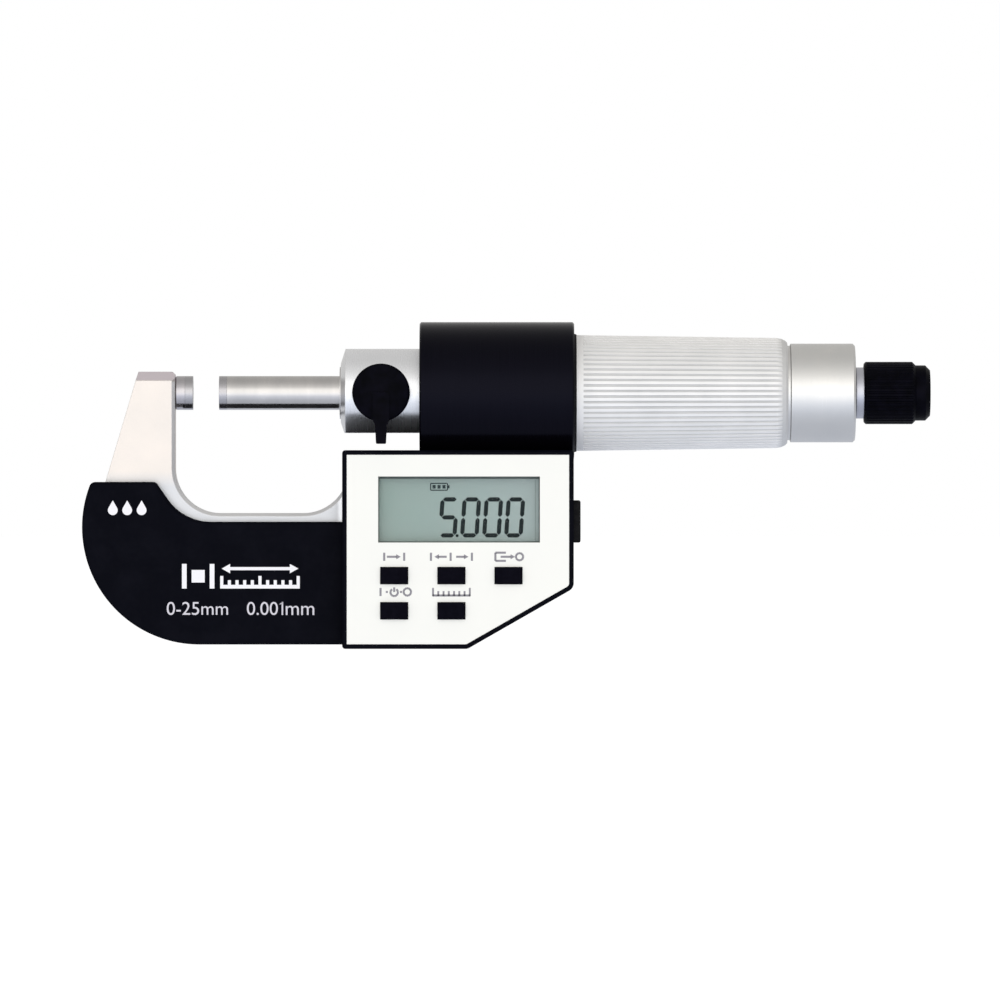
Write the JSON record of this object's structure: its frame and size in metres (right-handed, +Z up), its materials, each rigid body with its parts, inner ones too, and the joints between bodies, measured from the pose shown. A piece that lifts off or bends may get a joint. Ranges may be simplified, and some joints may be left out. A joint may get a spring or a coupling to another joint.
{
  "type": "outside micrometer",
  "caption": "Digital outside micrometer: C-shaped frame with anvil, screw-fed spindle, fluted thimble, ratchet stop, lever lock, display box and insulating grips.",
  "frame": {"origin": "centre of the anvil's measuring face, on the spindle axis", "axes": "+X along the spindle from the anvil to the ratchet, +Z up as it is read, the display faces -Y"},
  "size_m": [0.1622, 0.0272, 0.0625],
  "materials": {
    "satin_steel": "satin chrome plate on forged steel",
    "ground_steel": "ground",
    "carbide": "lapped carbide",
    "black_plastic": "fine moulded satin",
    "black_screws": "black oxide",
    "brass": "turned",
    "spring_steel": "bright",
    "black_knob": "black anodised",
    "black_case": "black anodised, turned",
    "black_rubber": "matt",
    "circuit_green": "solder mask",
    "white_ptfe": "plain",
    "ribbon_film": "polyimide film",
    "socket_plastic": "moulded",
    "satin_chrome": "satin",
    "fluted_chrome": "satin, fluted",
    "white_label": "printed film",
    "clear_window": "clear acrylic",
    "lcd_glass": "reflective liquid crystal",
    "button_rubber": "moulded silicone",
    "cell_steel": "nickel-plated can"
  },
  "bodies": {
    "frame": {"frame": "satin_steel", "anvil": "ground_steel", "anvil_carbide_face": "carbide", "grip_cover_front": "black_plastic", "grip_cover_rear": "black_plastic", "grip_screws": "black_screws", "guide_bush": "ground_steel", "lock_washer": "spring_steel", "encoder_case": "black_case", "case_end_ring": "black_case", "wiper_seal": "black_rubber", "case_grub_screws": "black_screws", "encoder_stator": "circuit_green", "thrust_washer": "white_ptfe", "rotor_wave_spring": "spring_steel", "encoder_ribbon": "ribbon_film", "ribbon_connector": "socket_plastic", "inner_sleeve": "satin_chrome", "lead_nut": "ground_steel", "adjusting_nut": "satin_chrome", "display_housing": "black_plastic", "face_label": "white_label", "display_window": "clear_window", "rear_cover": "black_plastic", "housing_screws": "black_screws", "lcd_panel": "lcd_glass", "contact_strips": "black_rubber", "circuit_board": "circuit_green", "board_screws": "spring_steel", "processor": "socket_plastic", "dome_switches": "spring_steel", "battery": "cell_steel", "battery_cup": "socket_plastic", "battery_contacts": "spring_steel", "battery_seal": "black_rubber", "data_socket": "socket_plastic"},
    "rotor": {"encoder_rotor": "circuit_green", "rotor_hub": "brass", "rotor_key": "ground_steel"},
    "spindle": {"spindle": "ground_steel", "spindle_carbide_face": "carbide", "thimble": "satin_chrome", "thimble_grip": "fluted_chrome", "ratchet_base": "satin_chrome", "ratchet_screw": "ground_steel"},
    "ratchet": {"ratchet_wheel": "ground_steel", "ratchet_spring": "spring_steel", "ratchet_knob": "black_knob", "ratchet_cap": "black_knob"},
    "lock": {"lock_lever": "black_knob", "lock_stem": "ground_steel"},
    "shoe": {"lock_shoe": "brass"},
    "battery_lid": {"battery_cap": "black_plastic"},
    "port_plug": {"data_port_plug": "black_rubber"},
    "button_set": {"button_set": "button_rubber"},
    "button_abs": {"button_abs": "button_rubber"},
    "button_data": {"button_data": "button_rubber"},
    "button_power": {"button_power": "button_rubber"},
    "button_units": {"button_units": "button_rubber"}
  },
  "joints": [
    {"name": "thimble_turn", "type": "hinge", "parent": "frame", "child": "rotor", "pos_m": [0.055, 0, 0], "axis": [1, 0, 0], "range_deg": [-3600, 14400]},
    {"name": "spindle_feed", "type": "slide", "parent": "rotor", "child": "spindle", "axis": [1, 0, 0], "range_m": [-0.005, 0.02]},
    {"name": "ratchet_turn", "type": "hinge", "parent": "spindle", "child": "ratchet", "pos_m": [0.1334, 0, 0], "axis": [1, 0, 0], "continuous": true},
    {"name": "lock_turn", "type": "hinge", "parent": "frame", "child": "lock", "pos_m": [0.0361, -0.0088, 0], "axis": [0, 1, 0], "range_deg": [0, 60]},
    {"name": "shoe_press", "type": "slide", "parent": "frame", "child": "shoe", "axis": [0, 1, 0], "range_m": [0, 0.00025]},
    {"name": "battery_lid_lift", "type": "slide", "parent": "frame", "child": "battery_lid", "axis": [0, 1, 0], "range_m": [0, 0.012]},
    {"name": "port_plug_pull", "type": "slide", "parent": "frame", "child": "port_plug", "axis": [1, 0, 0], "range_m": [0, 0.012]},
    {"name": "button_set_press", "type": "slide", "parent": "frame", "child": "button_set", "axis": [0, 1, 0], "range_m": [0, 0.0005], "stiffness_N_per_m": 800},
    {"name": "button_abs_press", "type": "slide", "parent": "frame", "child": "button_abs", "axis": [0, 1, 0], "range_m": [0, 0.0005], "stiffness_N_per_m": 800},
    {"name": "button_data_press", "type": "slide", "parent": "frame", "child": "button_data", "axis": [0, 1, 0], "range_m": [0, 0.0005], "stiffness_N_per_m": 800},
    {"name": "button_power_press", "type": "slide", "parent": "frame", "child": "button_power", "axis": [0, 1, 0], "range_m": [0, 0.0005], "stiffness_N_per_m": 800},
    {"name": "button_units_press", "type": "slide", "parent": "frame", "child": "button_units", "axis": [0, 1, 0], "range_m": [0, 0.0005], "stiffness_N_per_m": 800}
  ],
  "couplings": [
    {"joint": "thimble_turn", "follows": "spindle_feed", "rad_per_m": 12566},
    {"joint": "lock_turn", "follows": "shoe_press", "rad_per_m": 4188.8}
  ]
}
